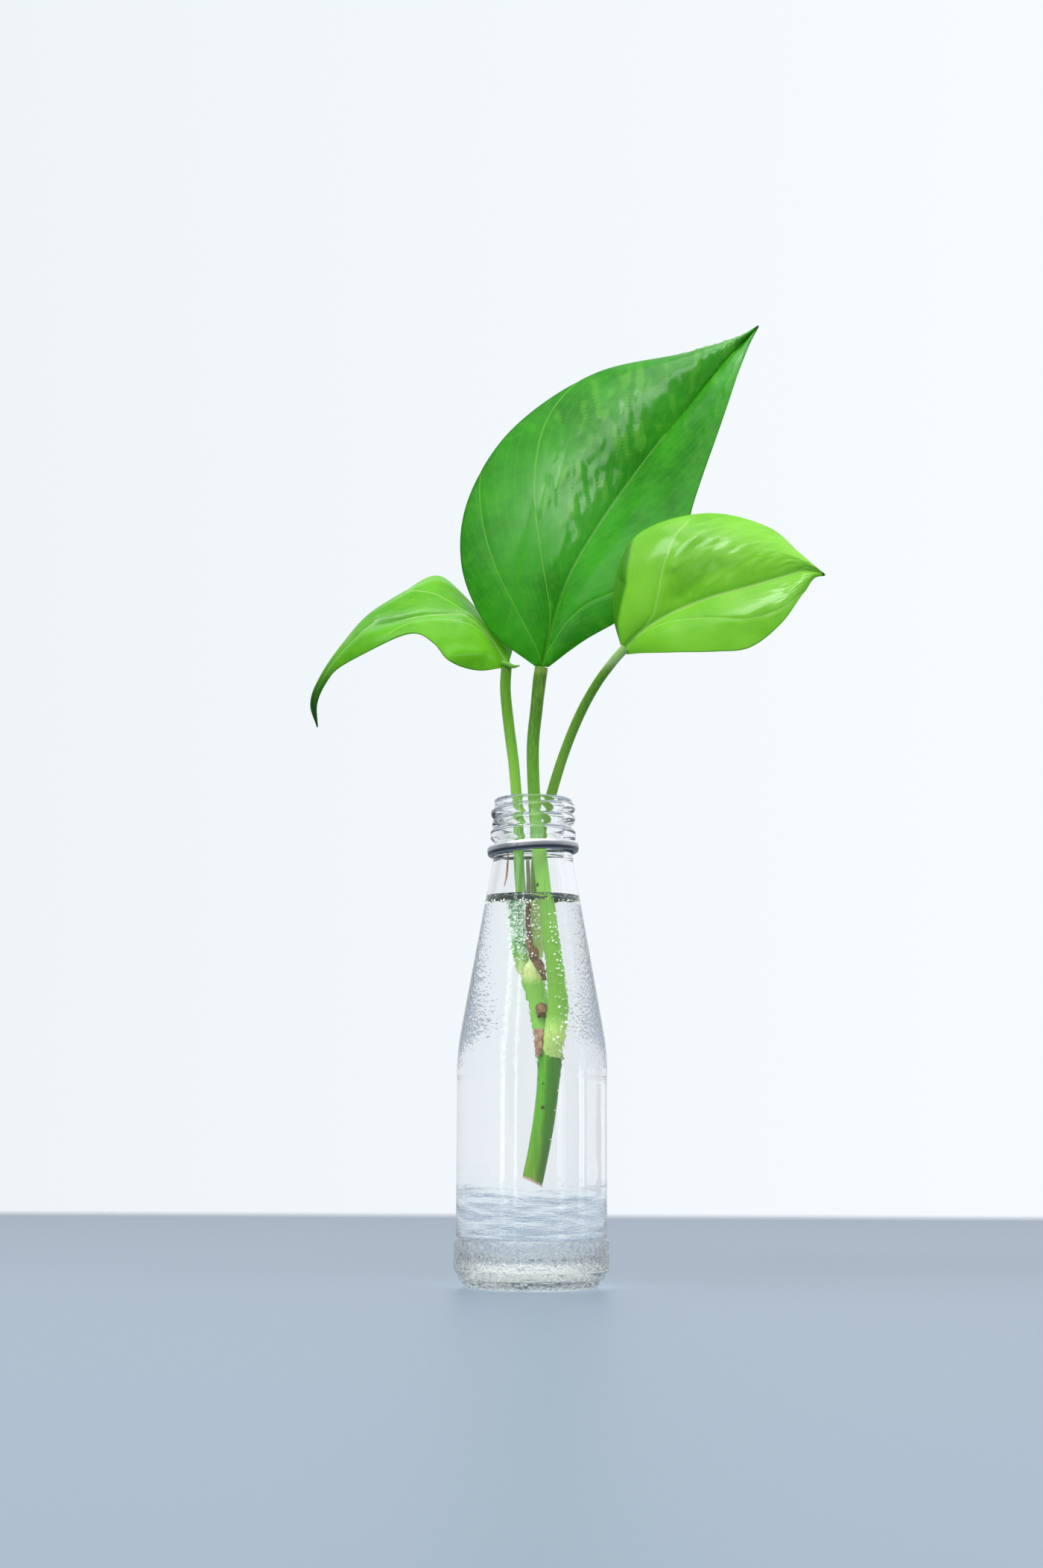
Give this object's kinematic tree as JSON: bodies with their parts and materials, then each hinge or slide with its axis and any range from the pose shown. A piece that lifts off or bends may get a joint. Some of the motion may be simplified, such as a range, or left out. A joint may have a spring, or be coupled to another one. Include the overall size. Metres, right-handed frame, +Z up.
{
  "type": "pothos cutting in a glass bottle",
  "caption": "Pothos cutting with heart-shaped leaves on long stalks, its cut stem standing in water in a small clear glass bottle with a screw neck and a loose metal tamper band.",
  "frame": {"origin": "middle of the footprint box, on the plane that the bottle stands on; the bottle's own axis stands at x -7.7 mm, y 4.2 mm", "axes": "+Z up along the bottle's axis; +X towards the tall leaf's tip and the viewer's right; +Y away from the viewer"},
  "size_m": [0.1653, 0.0733, 0.3271],
  "materials": {
    "clear_glass": "polished",
    "grey_metal": "satin",
    "water": "polished",
    "stem_green": "satin",
    "stalk_green": "satin",
    "deep_leaf": "gloss",
    "light_leaf": "gloss",
    "dry_brown": "matte"
  },
  "bodies": {
    "root": {"bottle": "clear_glass", "tamper_ring": "grey_metal", "water": "water", "stem": "stem_green", "petiole_tall": "stalk_green", "petiole_left": "stalk_green", "petiole_right": "stalk_green", "leaf_tall": "deep_leaf", "leaf_right": "light_leaf", "leaf_left": "light_leaf", "dry_sheath_upper": "dry_brown", "dry_sheath_lower": "dry_brown", "root_stub": "dry_brown"}
  },
  "joints": []
}
